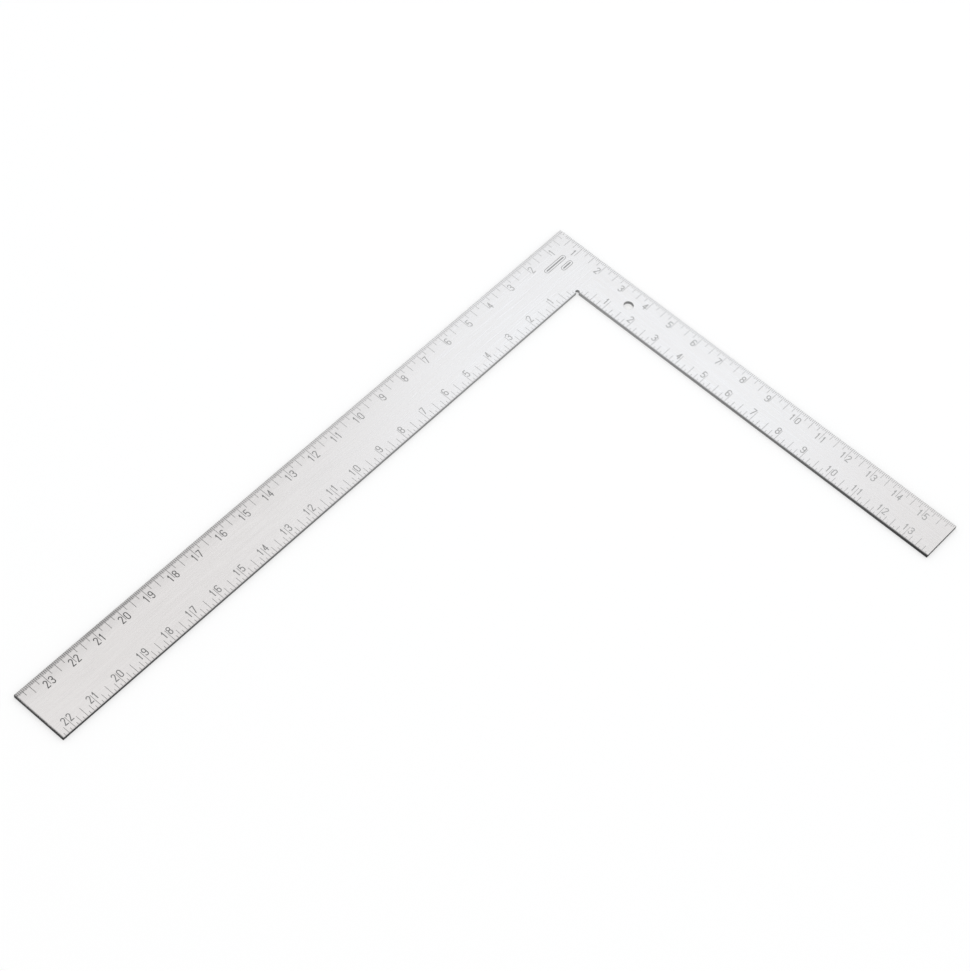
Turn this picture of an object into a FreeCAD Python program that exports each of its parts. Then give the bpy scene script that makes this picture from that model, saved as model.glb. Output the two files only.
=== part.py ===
"""A steel framing square: an L-shaped plate with engraved, paint-filled inch scales along its four working edges.

Frame: the outer heel corner of the back face is the origin. +X runs along the outer edge of the long arm (the body),
+Y along the outer edge of the short arm (the tongue), and +Z out of the graduated face. Millimetres.
"""

import FreeCAD, Part
import math
import os
import Sketcher

Vector = FreeCAD.Vector

SIZES = {
    # the plate
    "body_length": 609.6,
    "body_width": 50.8,
    "tongue_length": 406.4,
    "tongue_width": 38.1,
    "thickness": 3.2,
    "corner_round": 0.4,
    "edge_break": 0.2,
    "hang_hole_diameter": 7.94,
    "hang_hole_from_heel": 88.9,
    "relief_radius": 1.6,
    # the grooves and the paint in them
    "groove_depth": 0.12,
    "fill_depth": 0.09,
    "cutter_overrun": 0.5,
    # the graduations: their unit, their width, and how far from the edge they start and each kind ends
    "inch_size": 25.4,
    "line_width": 0.4,
    "line_start": 0.3,
    "outer_inch_line": 12.5,
    "outer_half_line": 10.2,
    "outer_quarter_line": 6.8,
    "outer_eighth_line": 3.5,
    "outer_sixteenth_line": 2.8,
    "inner_inch_line": 11.8,
    "inner_half_line": 9.6,
    "inner_quarter_line": 6.3,
    "inner_eighth_line": 2.8,
    # the numerals: pair_shift is from the inch line to each figure of a pair, single_shift to a figure on its own
    "digit_height": 7.0,
    "digit_width": 3.5,
    "digit_stroke": 0.8,
    "pair_shift": 2.7,
    "single_shift": 2.5,
    "outer_numeral_depth": 10.4,
    "inner_numeral_depth": 9.3,
    # the plain mark near the heel: two cartouches, one above the other, each with nothing but a bar in it
    "mark_left": 18.0,
    "mark_height": 4.0,
    "mark_stroke": 0.5,
    "mark_bar": 1.2,
    "long_cartouche": 24.0,
    "long_cartouche_row": 20.0,
    "short_cartouche": 12.0,
    "short_cartouche_row": 27.5,
}

# Each kind of line repeats along a scale: its name, where the first one stands and the step to the next, in inches.
COARSE_LINES = (("inch", 1, 1), ("half", 1 / 2, 1), ("quarter", 1 / 4, 1 / 2), ("eighth", 1 / 8, 1 / 4))
FINE_LINES = COARSE_LINES + (("sixteenth", 1 / 16, 1 / 8),)
# The tongue's outer scale leaves out the first of each short line, which would cross the body's lines at the heel.
LATE_LINES = COARSE_LINES[:2] + (("quarter", 3 / 4, 1 / 2), ("eighth", 3 / 8, 1 / 4), ("sixteenth", 3 / 16, 1 / 8))

# Each scale lies in its arm's own frame: x from the scale's zero along the arm, y a quarter turn to the left of it.
# "turn" is the angle of that frame, "inward" the way the lines run from the edge, and "reading" the numerals' angle.
SCALES = {
    "body_outer": {
        "zero": ("0", "0"),
        "turn": 0,
        "inward": 1,
        "reading": 180,
        "length": "dims.body_length",
        "lines": FINE_LINES,
    },
    "body_inner": {
        "zero": ("dims.tongue_width", "dims.body_width"),
        "turn": 0,
        "inward": -1,
        "reading": 180,
        "length": "(dims.body_length - dims.tongue_width)",
        "lines": COARSE_LINES,
    },
    "tongue_outer": {
        "zero": ("0", "0"),
        "turn": 90,
        "inward": -1,
        "reading": 0,
        "length": "dims.tongue_length",
        "lines": LATE_LINES,
    },
    "tongue_inner": {
        "zero": ("dims.tongue_width", "dims.body_width"),
        "turn": 90,
        "inward": 1,
        "reading": 0,
        "length": "(dims.tongue_length - dims.body_width)",
        "lines": COARSE_LINES,
    },
}


# Sheet, bodies and sketches


def make_sheet(doc):
    """Put the driving dimensions in a sheet: each row holds a name and its value, and the value has the name."""
    sheet = doc.addObject("Spreadsheet::Sheet", "dims")
    for row, (name, value) in enumerate(SIZES.items(), start=1):
        sheet.set(f"A{row}", name)
        sheet.set(f"B{row}", str(value))
        sheet.setAlias(f"B{row}", name)
    doc.recompute()
    return sheet


def make_body(doc, name):
    body = doc.addObject("PartDesign::Body", name)
    body.AllowCompound = True
    return body


def origin_feature(body, role):
    return next(feature for feature in body.Origin.OriginFeatures if feature.Role == role)


def add_sketch(body, name):
    sketch = body.newObject("Sketcher::SketchObject", name)
    sketch.AttachmentSupport = (origin_feature(body, "XY_Plane"), [""])
    sketch.MapMode = "FlatFace"
    return sketch


def bind(sketch, index, name, expression):
    """Name a dimension of the sketch and drive it from the sheet."""
    sketch.renameConstraint(index, name)
    sketch.setExpression(f"Constraints.{name}", expression)


def draw_outline(sketch, corners):
    """Draw a closed outline of level and upright lines through corners, each an (x, y) pair of expressions."""
    points = [Vector(sketch.evalExpression(x), sketch.evalExpression(y), 0) for x, y in corners]
    last = len(points) - 1
    for index, point in enumerate(points):
        sketch.addGeometry(Part.LineSegment(point, points[(index + 1) % len(points)]), False)
    for index in range(len(points)):
        sketch.addConstraint(Sketcher.Constraint("Coincident", index, 2, (index + 1) % len(points), 1))
        sketch.addConstraint(Sketcher.Constraint("Horizontal" if index % 2 == 0 else "Vertical", index))
    for index, point in enumerate(points[:last]):
        if index % 2 == 1 or index == 0:
            x = sketch.addConstraint(Sketcher.Constraint("DistanceX", -1, 1, index, 1, point.x))
            bind(sketch, x, f"corner_{index}_x", corners[index][0])
        if index % 2 == 0:
            y = sketch.addConstraint(Sketcher.Constraint("DistanceY", -1, 1, index, 1, point.y))
            bind(sketch, y, f"corner_{index}_y", corners[index][1])


def draw_circle(sketch, x, y, radius):
    """Draw a circle whose centre and radius are expressions."""
    centre = Vector(sketch.evalExpression(x), sketch.evalExpression(y), 0)
    circle = Part.Circle(centre, Vector(0, 0, 1), sketch.evalExpression(radius))
    sketch.addGeometry(circle, False)
    bind(sketch, sketch.addConstraint(Sketcher.Constraint("DistanceX", -1, 1, 0, 3, centre.x)), "centre_x", x)
    bind(sketch, sketch.addConstraint(Sketcher.Constraint("DistanceY", -1, 1, 0, 3, centre.y)), "centre_y", y)
    bind(sketch, sketch.addConstraint(Sketcher.Constraint("Radius", 0, circle.Radius)), "radius", radius)


def draw_plate(sketch):
    """Draw the L of the plate, from its heel along the body and back along the tongue."""
    body_end, body_side = "dims.body_length", "dims.body_width"
    tongue_end, tongue_side = "dims.tongue_length", "dims.tongue_width"
    draw_outline(
        sketch,
        [
            ("0", "0"),
            (body_end, "0"),
            (body_end, body_side),
            (tongue_side, body_side),
            (tongue_side, tongue_end),
            ("0", tongue_end),
        ],
    )


def add_pad(body, sketch, name, length):
    pad = body.newObject("PartDesign::Pad", name)
    pad.Profile = sketch
    pad.setExpression("Length", length)
    return pad


def set_corner(piece, x, y, z, turn=0):
    """Stand a sub-part at (x, y, z), given as expressions, turned about +Z."""
    piece.Placement = FreeCAD.Placement(Vector(), FreeCAD.Rotation(Vector(0, 0, 1), turn))
    piece.setExpression(".Placement.Base.x", x)
    piece.setExpression(".Placement.Base.y", y)
    piece.setExpression(".Placement.Base.z", z)


# The plate


def pocket_through(body, sketch, name):
    """Cut the sketch right through the plate, and check that metal has gone."""
    body.Document.recompute()
    before = body.Shape.Volume
    pocket = body.newObject("PartDesign::Pocket", name)
    pocket.Profile = sketch
    pocket.Type = "ThroughAll"
    pocket.Reversed = True
    body.Document.recompute()
    if body.Shape.Volume > before - 1:
        raise RuntimeError(f"{name} cut nothing")


def edges_where(shape, wanted):
    return [f"Edge{number}" for number, edge in enumerate(shape.Edges, start=1) if wanted(edge)]


def make_blank(doc, sheet):
    """The plate before it is engraved: its L, its hang hole, the relief in its inside corner and its dulled edges."""
    body = make_body(doc, "blank")
    outline = add_sketch(body, "plate_outline")
    draw_plate(outline)
    plate = add_pad(body, outline, "plate", "dims.thickness")
    doc.recompute()

    inside_corner = Vector(sheet.tongue_width, sheet.body_width, 0)

    def outside_upright(edge):
        middle = edge.CenterOfMass
        on_corner = math.hypot(middle.x - inside_corner.x, middle.y - inside_corner.y) < sheet.corner_round
        return edge.BoundBox.ZLength > sheet.thickness / 2 and not on_corner

    rounded = body.newObject("PartDesign::Fillet", "rounded_corners")
    rounded.Base = (plate, edges_where(plate.Shape, outside_upright))
    rounded.setExpression("Radius", "dims.corner_round")

    hole = add_sketch(body, "hang_hole_outline")
    draw_circle(hole, "dims.tongue_width / 2", "dims.hang_hole_from_heel", "dims.hang_hole_diameter / 2")
    pocket_through(body, hole, "hang_hole")
    relief = add_sketch(body, "relief_outline")
    draw_circle(relief, "dims.tongue_width", "dims.body_width", "dims.relief_radius")
    pocket_through(body, relief, "corner_relief")

    pierced = body.Tip
    dulled = body.newObject("PartDesign::Chamfer", "dulled_edges")
    dulled.Base = (pierced, edges_where(pierced.Shape, lambda edge: edge.BoundBox.ZLength < sheet.edge_break))
    dulled.setExpression("Size", "dims.edge_break")
    doc.recompute()
    return body


# The graduations


def make_comb(doc, scale_name, part_name, depth, kind, first, step):
    """One kind of line of one scale, as a row of equal bars of this depth that stand on the grooves' floor."""
    scale = SCALES[scale_name]
    edge = scale_name.split("_")[1]
    body = make_body(doc, f"{scale_name}_{kind}_{part_name}")
    sketch = add_sketch(body, "bar_outline")
    near = f"{scale['inward']} * dims.line_start"
    far = f"{scale['inward']} * dims.{edge}_{kind}_line"
    start = f"{first} * dims.inch_size - dims.line_width / 2"
    end = f"{first} * dims.inch_size + dims.line_width / 2"
    draw_outline(sketch, [(start, near), (end, near), (end, far), (start, far)])
    bar = add_pad(body, sketch, "bar", depth)
    doc.recompute()
    row = body.newObject("PartDesign::LinearPattern", "row_of_bars")
    row.Originals = [bar]
    row.Direction = (origin_feature(body, "X_Axis"), [""])
    row.Mode = "Spacing"
    row.setExpression("Offset", f"{step} * dims.inch_size")
    row.setExpression("Occurrences", f"ceil(({scale['length']} / dims.inch_size - {first}) / {step} - 0.001)")
    body.Tip = row
    set_corner(body, *scale["zero"], "dims.thickness - dims.groove_depth", scale["turn"])
    return body


def make_lines(doc, scale_name, part_name, depth):
    """All the lines of one scale."""
    lines = doc.addObject("Part::Compound", f"{scale_name}_{part_name}")
    lines.Links = [make_comb(doc, scale_name, part_name, depth, *kind) for kind in SCALES[scale_name]["lines"]]
    return lines


# The numerals: figures of one stroke width, drawn along centre lines


def line(*points):
    """Straight edges through points, each an (x, y) pair."""
    ends = [Vector(x, y, 0) for x, y in points]
    return [Part.LineSegment(a, b).toShape() for a, b in zip(ends, ends[1:])]


def arc(centre, radius, start, end):
    """One edge, anticlockwise from the angle start to the angle end, in degrees."""
    circle = Part.Circle(Vector(*centre, 0), Vector(0, 0, 1), radius)
    return [Part.ArcOfCircle(circle, math.radians(start), math.radians(end)).toShape()]


def ring(left, bottom, width, height):
    """A closed loop with round ends, upright or level, whichever way it is longer."""
    radius = min(width, height) / 2
    low_left = (left + radius, bottom + radius)
    top_right = (left + width - radius, bottom + height - radius)
    if height > width:
        left_side = line((left, top_right[1]), (left, low_left[1]))
        right_side = line((left + width, low_left[1]), (left + width, top_right[1]))
        return arc(low_left, radius, 180, 360) + right_side + arc(top_right, radius, 0, 180) + left_side
    low_side = line((low_left[0], bottom), (top_right[0], bottom))
    top_side = line((top_right[0], bottom + height), (low_left[0], bottom + height))
    return arc(low_left, radius, 90, 270) + low_side + arc(top_right, radius, -90, 90) + top_side


def hook(bottom, top, width, start, end):
    """The right-hand side of an upright loop, from the angle end on its top round to the angle start on its bottom."""
    radius = width / 2
    low = (radius, bottom + radius)
    high = (radius, top - radius)
    straight = line((width, low[1]), (width, high[1])) if high[1] - low[1] > 1e-6 else []
    return arc(low, radius, start, 0) + straight + arc(high, radius, 0, end)


def figure_strokes(width, height):
    """The centre lines of the ten figures, each a list of strokes, in a box of this width and height."""
    radius = width / 2
    waist = 0.54 * height
    shoulder = 0.6 * height
    reach = math.hypot(radius, height - radius)
    touch = math.degrees(math.atan2(radius - height, -radius) + math.acos(radius / reach))
    touch_point = (radius + radius * math.cos(math.radians(touch)),
                   height - radius + radius * math.sin(math.radians(touch)))
    bowl_start = (radius - radius * math.cos(math.radians(30)),
                  shoulder - radius + radius * math.sin(math.radians(30)))
    return {
        "0": [ring(0, 0, width, height)],
        "1": [line((0.2 * width, 0.78 * height), (radius, height), (radius, 0))],
        "2": [arc((radius, height - radius), radius, touch, 165) + line(touch_point, (0, 0), (width, 0))],
        "3": [hook(0, waist, width, -160, 100), hook(waist, height, width, -100, 160)],
        "4": [line((0.72 * width, 0), (0.72 * width, height)),
              line((0.72 * width, height), (0, 0.3 * height), (width, 0.3 * height))],
        "5": [line((width, height), (0.12 * width, height), bowl_start), hook(0, shoulder, width, -160, 150)],
        "6": [ring(0, 0, width, waist),
              line((0, radius), (0, height - radius)) + arc((radius, height - radius), radius, 25, 180)],
        "7": [line((0, height), (width, height), (0.3 * width, 0))],
        "8": [ring(0, 0, width, waist), ring(0, waist, width, height - waist)],
    }


def engraved(edges, stroke):
    """The flat outline of one stroke: a band along its centre line, with round ends where it is open."""
    if len(edges) == 1 and isinstance(edges[0].Curve, Part.Line):
        box = edges[0].BoundBox
        around = ring(box.XMin - stroke / 2, box.YMin - stroke / 2, box.XLength + stroke, box.YLength + stroke)
        return Part.Face(Part.Wire(around))
    wire = Part.Wire(Part.__sortEdges__(edges))
    if wire.isClosed():
        return Part.Face(wire.makeOffset2D(stroke / 2)).cut(Part.Face(wire.makeOffset2D(-stroke / 2)))
    return wire.makeOffset2D(stroke / 2, 0, True, False, False)


def joined(strokes):
    """One solid of strokes that overlap."""
    whole = strokes[0].fuse(strokes[1:]) if len(strokes) > 1 else strokes[0]
    solids = whole.removeSplitter().Solids
    if len(solids) != 1:
        raise RuntimeError(f"strokes that should be one solid are {len(solids)}")
    return solids[0]


def make_figures(sheet, depth):
    """The ten figures as solids of this depth, each centred on its own origin."""
    width = sheet.digit_width - sheet.digit_stroke
    height = sheet.digit_height - sheet.digit_stroke
    figures = {}
    for figure, strokes in figure_strokes(width, height).items():
        solid = joined([engraved(edges, sheet.digit_stroke).extrude(Vector(0, 0, depth)) for edges in strokes])
        solid.translate(Vector(-width / 2, -height / 2, 0))
        figures[figure] = solid
    figures["9"] = figures["6"].rotated(Vector(), Vector(0, 0, 1), 180)
    return figures


def add_shape(doc, name, shape, scale_name=None):
    """A sub-part with this shape, on the grooves' floor, in the frame of a scale or of the plate."""
    sheet = doc.dims
    piece = doc.addObject("Part::Feature", name)
    piece.Shape = shape
    scale = SCALES[scale_name] if scale_name else {"zero": ("0", "0"), "turn": 0}
    x, y = (sheet.evalExpression(value) for value in scale["zero"])
    turn = FreeCAD.Rotation(Vector(0, 0, 1), scale["turn"])
    piece.Placement = FreeCAD.Placement(Vector(x, y, sheet.thickness - sheet.groove_depth), turn)
    return piece


def make_numerals(doc, scale_name, part_name, depth):
    """A scale's numerals: two figures stand either side of their inch line, and one stands on its heel side."""
    sheet = doc.dims
    scale = SCALES[scale_name]
    edge = scale_name.split("_")[1]
    row = scale["inward"] * getattr(sheet, f"{edge}_numeral_depth")
    along = 1 if scale["reading"] == 0 else -1
    figures = make_figures(sheet, sheet.evalExpression(depth))
    inches = round(sheet.evalExpression(scale["length"]) / sheet.inch_size, 3)
    placed = []
    for number in range(1, math.ceil(inches)):
        text = str(number)
        shifts = (-along * sheet.pair_shift, along * sheet.pair_shift) if len(text) == 2 else (-sheet.single_shift,)
        for figure, shift in zip(text, shifts):
            solid = figures[figure].rotated(Vector(), Vector(0, 0, 1), scale["reading"])
            placed.append(solid.translated(Vector(number * sheet.inch_size + shift, row, 0)))
    return add_shape(doc, f"{scale_name}_{part_name}", Part.makeCompound(placed), scale_name)


def make_heel_mark(doc, name, depth):
    """Two cartouches, a long one over a short one, with a bar along the middle of each."""
    sheet = doc.dims
    upward = Vector(0, 0, sheet.evalExpression(depth))
    solids = []
    for size in ("long_cartouche", "short_cartouche"):
        left = sheet.mark_left
        right = left + getattr(sheet, size)
        row = getattr(sheet, f"{size}_row")
        outline = ring(left, row - sheet.mark_height / 2, right - left, sheet.mark_height)
        bar = line((left + sheet.mark_height / 2, row), (right - sheet.mark_height / 2, row))
        for edges, stroke in ((outline, sheet.mark_stroke), (bar, sheet.mark_bar)):
            solids.append(engraved(edges, stroke).extrude(upward).Solids[0])
    return add_shape(doc, name, Part.makeCompound(solids))


# The whole square


def build(doc):
    """Make every sub-part, and return those that the square is made of."""
    sheet = make_sheet(doc)
    cutter_depth = "dims.groove_depth + dims.cutter_overrun"
    fill_depth = "dims.fill_depth"
    cutters = []
    fills = []
    for scale_name in SCALES:
        cutters.append(make_lines(doc, scale_name, "line_cutters", cutter_depth))
        cutters.append(make_numerals(doc, scale_name, "numeral_cutters", cutter_depth))
        fills.append(make_lines(doc, scale_name, "lines", fill_depth))
        fills.append(make_numerals(doc, scale_name, "numerals", fill_depth))
    cutters.append(make_heel_mark(doc, "heel_mark_cutter", cutter_depth))
    fills.append(make_heel_mark(doc, "heel_mark", fill_depth))

    engraving = doc.addObject("Part::Compound", "engraving")
    engraving.Links = cutters
    blade = doc.addObject("Part::Cut", "blade")
    blade.Base = make_blank(doc, sheet)
    blade.Tool = engraving
    doc.recompute()
    return [blade] + fills


def check(doc, pieces):
    """Stop if any object failed, or if any sub-part's shape is missing or faulty."""
    failed = [item.Name for item in doc.Objects if "Invalid" in item.State or "Error" in item.State]
    faulty = [piece.Label for piece in pieces if piece.Shape.isNull() or not piece.Shape.isValid()]
    if failed or faulty:
        raise RuntimeError(f"failed: {failed}, faulty: {faulty}")


def main():
    doc = FreeCAD.newDocument("framing_square")
    pieces = build(doc)
    check(doc, pieces)
    os.makedirs("parts", exist_ok=True)
    for piece in pieces:
        piece.Shape.exportStep(f"parts/{piece.Label}.step")
        shape = piece.Shape
        print(f"{piece.Label}: {len(shape.Solids)} solids, {len(shape.Faces)} faces, {shape.Volume:.2f} mm3")


main()
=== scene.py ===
"""Looks for a steel framing square: grained steel, dark paint in the engraved scales, and a pale studio."""

import math

import bpy
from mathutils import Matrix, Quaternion, Vector


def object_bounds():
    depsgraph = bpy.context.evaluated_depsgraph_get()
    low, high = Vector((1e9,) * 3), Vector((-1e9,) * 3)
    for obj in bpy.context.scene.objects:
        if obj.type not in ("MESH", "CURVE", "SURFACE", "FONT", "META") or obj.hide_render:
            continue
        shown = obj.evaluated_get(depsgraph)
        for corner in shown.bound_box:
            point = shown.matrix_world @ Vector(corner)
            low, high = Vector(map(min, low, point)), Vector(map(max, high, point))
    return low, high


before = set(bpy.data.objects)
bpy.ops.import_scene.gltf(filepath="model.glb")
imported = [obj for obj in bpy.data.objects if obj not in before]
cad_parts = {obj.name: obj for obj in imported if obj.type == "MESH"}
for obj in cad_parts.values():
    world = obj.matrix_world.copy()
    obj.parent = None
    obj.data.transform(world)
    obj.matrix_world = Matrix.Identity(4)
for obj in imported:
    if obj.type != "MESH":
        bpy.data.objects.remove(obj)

CAD_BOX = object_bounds()

MM = 0.001
WHITE = (1, 1, 1, 1)

# The camera looks at a point inside the L, from beyond the two arms' free ends.
LOOK_AT = (231.4 * MM, 121.8 * MM, 3.2 * MM)
CAMERA_DISTANCE = 2.3418
CAMERA_AZIMUTH = -146.64
CAMERA_ELEVATION = 55.97
CAMERA_ROLL = 9.70
CAMERA_LENS = 113.2

# The square's own sizes.
BODY_WIDTH = 50.8 * MM
TONGUE_WIDTH = 38.1 * MM
BODY_END = CAD_BOX[1][0]

# In what follows, a name that ends in STEP holds the two values between which something sets in.

# Noise: the features to the metre along X, Y and Z, the levels of finer detail, and the turn in degrees.
BODY_GRAIN = {"features": (28, 2600, 200)}
TONGUE_GRAIN = {"features": (2600, 28, 200)}
CLOUDS = {"features": (9, 9, 9), "detail": 3.0}
PATCHES = {"features": (70, 70, 70), "detail": 5.0}
SCRATCHES = {"features": (14, 1500, 100), "detail": 2.0, "turn": 23}
SHEAR_MARKS = {"features": (900, 900, 250)}
PAINT_PATCHES = {"features": (90, 90, 90), "detail": 5.0}
GRIT = {"features": (3000, 3000, 3000), "detail": 2.0}
NOISE_ROUGHNESS = 0.6
NOISE_MIDDLE = 0.5
NOISE_STEP = (0.3, 0.7)
SCRATCH_STEP = (0.74, 0.80)

# The steel's face: the body's grain turns into the tongue's just beyond the body's inner edge.
FACE_DARK = (0.672, 0.653, 0.647, 1)
FACE_LIGHT = (0.786, 0.764, 0.757, 1)
FACE_SCRATCH = (0.95, 0.94, 0.93, 1)
TONGUE_STEP = (BODY_WIDTH - 1 * MM, BODY_WIDTH + 3 * MM)
SCRATCH_STRENGTH = 0.35
SCRATCH_DEPTH = 0.5

# The sheared sides, given a dark colour as painted shade for the dark surroundings they reflect; darker away from
# the heel, and faster along the tongue than along the body.
SIDE_NEAR_HEEL = (0.34, 0.34, 0.34, 1)
SIDE_FAR_OUT = (0.008, 0.008, 0.009, 1)
SIDE_WORN = (0.10, 0.10, 0.10, 1)
SIDE_WEAR = 0.3
SIDE_TONGUE_RATE = 1.6
FAR_OUT_STEP = (0.12, 0.78)

# How upright the surface's normal is, from the sides (0) to the faces (1).
SIDE_TILT_STEP = (0.6, 0.95)
FACE_TILT_STEP = (0.0, 0.5)

# The steel's gloss: the least roughness, and what the grain, the clouds and the sides add to it.
STEEL_SPECULAR = 0.05
LEAST_ROUGHNESS = 0.18
GRAIN_ROUGHNESS = 0.20
CLOUD_ROUGHNESS = 0.10
SIDE_ROUGHNESS = 0.25
STEEL_BUMP = {"Strength": 0.2, "Distance": 0.02 * MM}

# Painted shade on the face beside the dark sides, standing for the shadow along those edges: how wide, and how
# strong along each edge.
RIM_COLOUR = (0.03, 0.03, 0.03, 1)
RIM_WIDTH = 1.6 * MM
RIM_START = 1 * MM
RIM_BODY_END = 0.95
RIM_BODY_INNER = 0.22
RIM_TONGUE_INNER = 0.58
RIM_TONGUE_TIP = 0.95
RIM_TIP_STEP = (0.25, 0.42)
RIM_PATCHY = {"bottom": 0.7, "top": 1.2}

# Paint in the grooves: dark at the body's free end, and lighter near the heel, a painted highlight where the face's
# bright reflection washes out the marks.
PAINT_FAR_OUT = (0.05, 0.05, 0.05, 1)
PAINT_HIGHLIT = (0.45, 0.45, 0.45, 1)
INNER_FAR_OUT = (0.16, 0.16, 0.16, 1)
TONGUE_HIGHLIT = (0.38, 0.38, 0.38, 1)
MARK_HIGHLIT = (0.30, 0.30, 0.30, 1)
HIGHLIGHT_STEP = (0.02, 0.58)
PAINT_UNEVEN = 0.12
DUST = (0.6, 0.6, 0.6, 1)
DUST_STRENGTH = 0.12
PAINT_ROUGHNESS = 0.6
PAINT_SPECULAR = 0.3
PAINT_BUMP = {"Strength": 0.3, "Distance": 0.01 * MM}

# The painted shade beside the outer scales, a dark band for the dark surroundings that the rounded outer edge
# reflects: its strength, and its steps inwards from the edge.
OUTER_SHADE = (0.12, 0.12, 0.12, 1)
OUTER_SHADE_NEAR_HEEL = 0.10
OUTER_SHADE_FAR_OUT = 0.45
OUTER_SHADE_ON_TONGUE = 0.01
OUTER_SHADE_TAIL = 0.18
OUTER_SHADE_RISE_STEP = (0.0, 0.6 * MM)
OUTER_SHADE_TAIL_STEP = (2.6 * MM, 4.0 * MM)
OUTER_SHADE_FADE_STEP = (6 * MM, 14 * MM)
OUTER_SHADE_BODY_STEP = (0.10, 0.62)
OUTER_SHADE_PATCHY = {"bottom": 0.6, "top": 1.4}

# The floor lies a hair under the steel, so that the two surfaces don't coincide.
FLOOR_SIZE = 30
FLOOR_GAP = 0.1 * MM
FLOOR_TONE = 0.5
FLOOR_GLOW = 0.5
FLOOR_ROUGHNESS = 0.9

# Light, in watts and metres. The surround is darkest at the horizon, and full from SKY_HEIGHT up.
SKY_LIGHT = 1.0
SKY_HEIGHT = 0.6
HORIZON_LIGHT = 0.6
OVERHEAD_PLACE = (0.3, 0.2, 2.5)
OVERHEAD_SIZE = (2.0, 2.0)
OVERHEAD_POWER = 2.4
SOFTBOX_PLACE = (-0.37, -0.11, 0.824)
SOFTBOX_TARGET = (0.15, 0.17, 0.0032)
SOFTBOX_SIZE = (0.5, 0.5)
SOFTBOX_POWER = 0.35
SOFTBOX_COLOUR = (0.72, 0.87, 1.0)

# The Mix node's sockets for colours, which share their names with its sockets for plain values.
MIX_FACTOR = 0
MIX_FIRST = 6
MIX_SECOND = 7
MIX_RESULT = 2


class Nodes:
    """A material's node tree, with short calls for the nodes that these materials use."""

    def __init__(self, name):
        self.material = bpy.data.materials.new(name)
        self.material.use_nodes = True
        self.tree = self.material.node_tree
        self.shader = self.tree.nodes["Principled BSDF"]

    def add(self, kind, inputs=None, **settings):
        node = self.tree.nodes.new(kind)
        for name, value in settings.items():
            setattr(node, name, value)
        for name, value in (inputs or {}).items():
            self.put(node.inputs[name], value)
        return node

    def put(self, socket, value):
        """Link the socket to another socket, or set it to a plain value."""
        if isinstance(value, bpy.types.NodeSocket):
            self.tree.links.new(value, socket)
        else:
            socket.default_value = value

    def calculate(self, operation, first, second=0.0):
        return self.add("ShaderNodeMath", {0: first, 1: second}, operation=operation).outputs["Value"]

    def times(self, first, second):
        return self.calculate("MULTIPLY", first, second)

    def smooth_step(self, value, low, high, bottom=0.0, top=1.0):
        """Bottom where the value is under low, top where it is over high, and a soft step between."""
        inputs = {"Value": value, "From Min": low, "From Max": high, "To Min": bottom, "To Max": top}
        return self.add("ShaderNodeMapRange", inputs, interpolation_type="SMOOTHSTEP").outputs["Result"]

    def noise(self, position, features, turn=0.0, detail=4.0):
        """Noise with so many features to the metre along X, Y and Z, turned by so many degrees about Z."""
        mapping = self.add("ShaderNodeMapping", {"Vector": position, "Scale": features})
        if turn:
            mapping.vector_type = "TEXTURE"
            mapping.inputs["Rotation"].default_value = (0, 0, math.radians(turn))
            mapping.inputs["Scale"].default_value = [1 / count for count in features]
        inputs = {"Vector": mapping.outputs["Vector"], "Scale": 1.0, "Detail": detail, "Roughness": NOISE_ROUGHNESS}
        return self.add("ShaderNodeTexNoise", inputs).outputs["Fac"]

    def blend_values(self, factor, first, second):
        """The first value where the factor is 0, and the second where it is 1."""
        inputs = {"Factor": factor, "A": first, "B": second}
        return self.add("ShaderNodeMix", inputs, data_type="FLOAT").outputs["Result"]

    def average(self, first, second):
        return self.blend_values(0.5, first, second)

    def blend_colours(self, factor, first, second):
        """The first colour where the factor is 0, and the second where it is 1."""
        inputs = {MIX_FACTOR: factor, MIX_FIRST: first, MIX_SECOND: second}
        return self.add("ShaderNodeMix", inputs, data_type="RGBA").outputs[MIX_RESULT]

    def shine(self, colour, specular):
        """Give the shader its colour, and the one specular level that holds for the whole surface."""
        self.put(self.shader.inputs["Base Color"], colour)
        self.shader.inputs["Specular IOR Level"].default_value = specular

    def bump(self, height, sizes):
        bump = self.add("ShaderNodeBump", {"Height": height, **sizes})
        self.put(self.shader.inputs["Normal"], bump.outputs["Normal"])


def outer_shade_across(nodes, across):
    """The painted shade's strength from an outer edge inwards: full beside the lines, then a weak tail that fades
    out.
    """
    rise = nodes.smooth_step(across, *OUTER_SHADE_RISE_STEP)
    beside_lines = nodes.smooth_step(across, *OUTER_SHADE_TAIL_STEP, bottom=1.0, top=OUTER_SHADE_TAIL)
    fade = nodes.smooth_step(across, *OUTER_SHADE_FADE_STEP, bottom=1.0, top=0.0)
    return nodes.times(rise, nodes.times(beside_lines, fade))


def outer_shade(nodes, x, y, patches):
    """How much painted shade lies on the steel along the outer scales: most at the body's free end."""
    along_body = nodes.smooth_step(x, *OUTER_SHADE_BODY_STEP, bottom=OUTER_SHADE_NEAR_HEEL, top=OUTER_SHADE_FAR_OUT)
    body = nodes.times(outer_shade_across(nodes, y), along_body)
    tongue = nodes.times(outer_shade_across(nodes, x), OUTER_SHADE_ON_TONGUE)
    patchy = nodes.smooth_step(patches, *NOISE_STEP, **OUTER_SHADE_PATCHY)
    return nodes.times(nodes.calculate("MAXIMUM", body, tongue), patchy)


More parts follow.
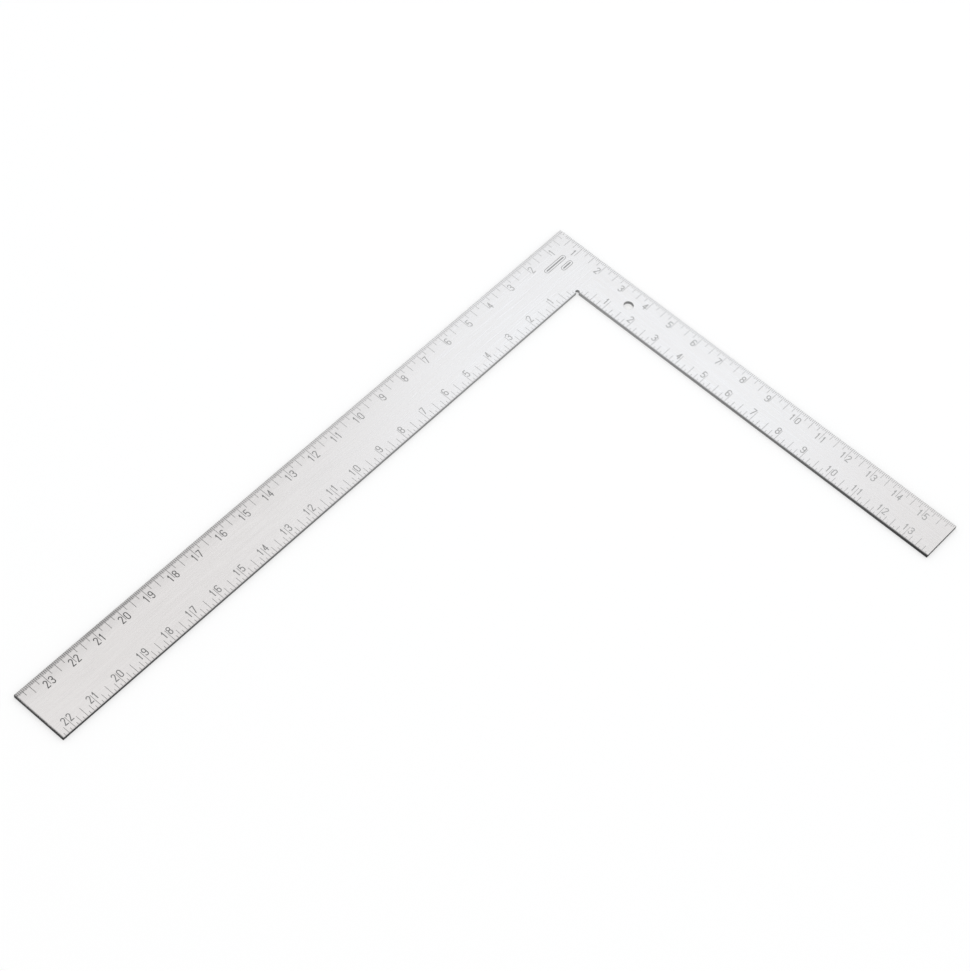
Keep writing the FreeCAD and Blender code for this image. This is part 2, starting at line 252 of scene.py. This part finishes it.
def rim(nodes, x, y, patches):
    """How strong the painted shade is in from the body's end, and from the inner edges beyond the inside corner."""
    tongue_inner = nodes.smooth_step(y, *RIM_TIP_STEP, bottom=RIM_TONGUE_INNER, top=RIM_TONGUE_TIP)
    edges = (
        (x, BODY_END, None, None, RIM_BODY_END),
        (y, BODY_WIDTH, x, TONGUE_WIDTH, RIM_BODY_INNER),
        (x, TONGUE_WIDTH, y, BODY_WIDTH, tongue_inner),
    )
    rim_shade = 0.0
    for across, edge, along, corner, strength in edges:
        edge_shade = nodes.smooth_step(across, edge - RIM_WIDTH, edge, bottom=0.0, top=strength)
        if along is not None:
            edge_shade = nodes.times(edge_shade, nodes.smooth_step(along, corner, corner + RIM_START))
        rim_shade = nodes.calculate("MAXIMUM", rim_shade, edge_shade)
    return nodes.times(rim_shade, nodes.smooth_step(patches, *NOISE_STEP, **RIM_PATCHY))


def steel_material():
    """Satin steel: fine grain along each arm, a few scratches, painted shade on the sides, and painted shade beside
    the outer scales and along the inner edges on the face.
    """
    nodes = Nodes("steel")
    position = nodes.add("ShaderNodeTexCoord").outputs["Object"]
    place = nodes.add("ShaderNodeSeparateXYZ", {"Vector": position})
    normal = nodes.add("ShaderNodeSeparateXYZ", {"Vector": nodes.add("ShaderNodeNewGeometry").outputs["Normal"]})
    x, y = place.outputs["X"], place.outputs["Y"]
    upright = normal.outputs["Z"]

    on_tongue = nodes.smooth_step(y, *TONGUE_STEP)
    body_grain = nodes.noise(position, **BODY_GRAIN)
    tongue_grain = nodes.noise(position, **TONGUE_GRAIN)
    grain = nodes.smooth_step(nodes.blend_values(on_tongue, body_grain, tongue_grain), *NOISE_STEP)
    clouds = nodes.noise(position, **CLOUDS)
    scratches = nodes.smooth_step(nodes.noise(position, **SCRATCHES), *SCRATCH_STEP)
    patches = nodes.average(nodes.noise(position, **PATCHES), grain)
    shear_marks = nodes.noise(position, **SHEAR_MARKS)

    face = nodes.blend_colours(nodes.average(grain, clouds), FACE_DARK, FACE_LIGHT)
    face = nodes.blend_colours(nodes.times(scratches, SCRATCH_STRENGTH), face, FACE_SCRATCH)
    on_face = nodes.smooth_step(upright, *FACE_TILT_STEP)
    # Painted shade along the outer edges, darkest towards the body's free end.
    face = nodes.blend_colours(nodes.times(outer_shade(nodes, x, y, patches), on_face), face, OUTER_SHADE)
    # Painted shade along the body's end and along the inner edges beyond the inside corner.
    face = nodes.blend_colours(rim(nodes, x, y, patches), face, RIM_COLOUR)

    # Painted shade on the sides: a dark colour in place of the dark surroundings they reflect, darker away from the
    # heel.
    on_side = nodes.smooth_step(nodes.calculate("ABSOLUTE", upright), *SIDE_TILT_STEP, bottom=1.0, top=0.0)
    far_out = nodes.calculate("ADD", x, nodes.times(y, SIDE_TONGUE_RATE))
    side_shade = nodes.blend_colours(nodes.smooth_step(far_out, *FAR_OUT_STEP), SIDE_NEAR_HEEL, SIDE_FAR_OUT)
    side_shade = nodes.blend_colours(nodes.times(shear_marks, SIDE_WEAR), side_shade, SIDE_WORN)
    nodes.shine(nodes.blend_colours(on_side, face, side_shade), STEEL_SPECULAR)
    nodes.put(nodes.shader.inputs["Metallic"], nodes.calculate("SUBTRACT", 1.0, on_side))

    rough = nodes.calculate("ADD", nodes.times(grain, GRAIN_ROUGHNESS), nodes.times(clouds, CLOUD_ROUGHNESS))
    rough = nodes.calculate("ADD", rough, nodes.times(on_side, SIDE_ROUGHNESS))
    nodes.put(nodes.shader.inputs["Roughness"], nodes.calculate("ADD", rough, LEAST_ROUGHNESS))

    relief = nodes.calculate("SUBTRACT", grain, nodes.times(scratches, SCRATCH_DEPTH))
    nodes.bump(nodes.blend_values(on_side, relief, shear_marks), STEEL_BUMP)
    return nodes.material


def paint_material(name, far_out_colour, highlit_colour):
    """Matte paint in the grooves: dark far out along X, and lighter near the heel and all along the tongue, a
    painted highlight.
    """
    nodes = Nodes(name)
    position = nodes.add("ShaderNodeTexCoord").outputs["Object"]
    x = nodes.add("ShaderNodeSeparateXYZ", {"Vector": position}).outputs["X"]
    patches = nodes.noise(position, **PAINT_PATCHES)
    grit = nodes.noise(position, **GRIT)
    uneven = nodes.times(nodes.calculate("SUBTRACT", patches, NOISE_MIDDLE), PAINT_UNEVEN)
    # Painted highlight: the paint turns lighter towards the heel.
    highlight = nodes.smooth_step(nodes.calculate("ADD", x, uneven), *HIGHLIGHT_STEP, bottom=1.0, top=0.0)
    colour = nodes.blend_colours(highlight, far_out_colour, highlit_colour)
    nodes.shine(nodes.blend_colours(nodes.times(grit, DUST_STRENGTH), colour, DUST), PAINT_SPECULAR)
    nodes.shader.inputs["Roughness"].default_value = PAINT_ROUGHNESS
    nodes.bump(grit, PAINT_BUMP)
    return nodes.material


def floor_material():
    """A pale floor that gives off some light of its own, as a lit table does, so its shadows are faint."""
    nodes = Nodes("studio_floor")
    nodes.shine((FLOOR_TONE, FLOOR_TONE, FLOOR_TONE, 1), 0.0)
    nodes.shader.inputs["Roughness"].default_value = FLOOR_ROUGHNESS
    nodes.shader.inputs["Emission Color"].default_value = WHITE
    nodes.shader.inputs["Emission Strength"].default_value = FLOOR_GLOW
    return nodes.material


def finish_nodes():
    """Give every CAD node its material: a paint by the start of its name, and steel to anything else."""
    steel = steel_material()
    paints = {
        "body_outer": paint_material("body_outer_paint", PAINT_FAR_OUT, PAINT_HIGHLIT),
        "body_inner": paint_material("body_inner_paint", INNER_FAR_OUT, PAINT_HIGHLIT),
        "tongue": paint_material("tongue_paint", PAINT_FAR_OUT, TONGUE_HIGHLIT),
        "heel_mark": paint_material("mark_paint", PAINT_FAR_OUT, MARK_HIGHLIT),
    }
    for name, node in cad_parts.items():
        finish = next((paint for start, paint in paints.items() if name.startswith(start)), steel)
        node.data.materials.clear()
        node.data.materials.append(finish)


def add_floor():
    bpy.ops.mesh.primitive_plane_add(size=FLOOR_SIZE, location=(0, 0, -FLOOR_GAP))
    floor = bpy.context.object
    floor.name = "studio_floor"
    floor.data.materials.append(floor_material())


def add_softbox(name, place, target, size, power, colour):
    data = bpy.data.lights.new(name, "AREA")
    data.shape = "RECTANGLE"
    data.size, data.size_y = size
    data.energy = power
    data.color = colour
    light = bpy.data.objects.new(name, data)
    light.location = place
    light.rotation_euler = (Vector(target) - Vector(place)).to_track_quat("-Z", "Y").to_euler()
    bpy.context.scene.collection.objects.link(light)


def add_world():
    """A pale surround, a little darker towards the horizon."""
    world = bpy.data.worlds.new("studio")
    world.use_nodes = True
    tree = world.node_tree
    direction = tree.nodes.new("ShaderNodeTexCoord")
    height = tree.nodes.new("ShaderNodeSeparateXYZ")
    strength = tree.nodes.new("ShaderNodeMapRange")
    background = tree.nodes["Background"]
    tree.links.new(direction.outputs["Generated"], height.inputs["Vector"])
    tree.links.new(height.outputs["Z"], strength.inputs["Value"])
    tree.links.new(strength.outputs["Result"], background.inputs["Strength"])
    strength.inputs["From Min"].default_value = 0.0
    strength.inputs["From Max"].default_value = SKY_HEIGHT
    strength.inputs["To Min"].default_value = HORIZON_LIGHT
    strength.inputs["To Max"].default_value = SKY_LIGHT
    background.inputs["Color"].default_value = WHITE
    bpy.context.scene.world = world


def add_studio():
    """A pale surround, a soft light overhead, and a cool softbox behind the heel that the face reflects."""
    add_world()
    add_softbox("overhead", OVERHEAD_PLACE, LOOK_AT, OVERHEAD_SIZE, OVERHEAD_POWER, WHITE[:3])
    add_softbox("behind_heel", SOFTBOX_PLACE, SOFTBOX_TARGET, SOFTBOX_SIZE, SOFTBOX_POWER, SOFTBOX_COLOUR)


def add_camera():
    azimuth = math.radians(CAMERA_AZIMUTH)
    elevation = math.radians(CAMERA_ELEVATION)
    level = math.cos(elevation)
    ahead = Vector((math.cos(azimuth) * level, math.sin(azimuth) * level, -math.sin(elevation)))
    data = bpy.data.cameras.new("camera")
    data.lens = CAMERA_LENS
    camera = bpy.data.objects.new("camera", data)
    camera.location = Vector(LOOK_AT) - ahead * CAMERA_DISTANCE
    camera.rotation_mode = "QUATERNION"
    camera.rotation_quaternion = ahead.to_track_quat("-Z", "Y") @ Quaternion((0, 0, 1), math.radians(CAMERA_ROLL))
    bpy.context.scene.collection.objects.link(camera)
    bpy.context.scene.camera = camera


add_camera()
finish_nodes()
add_floor()
add_studio()
bpy.context.scene.view_settings.view_transform = "Standard"
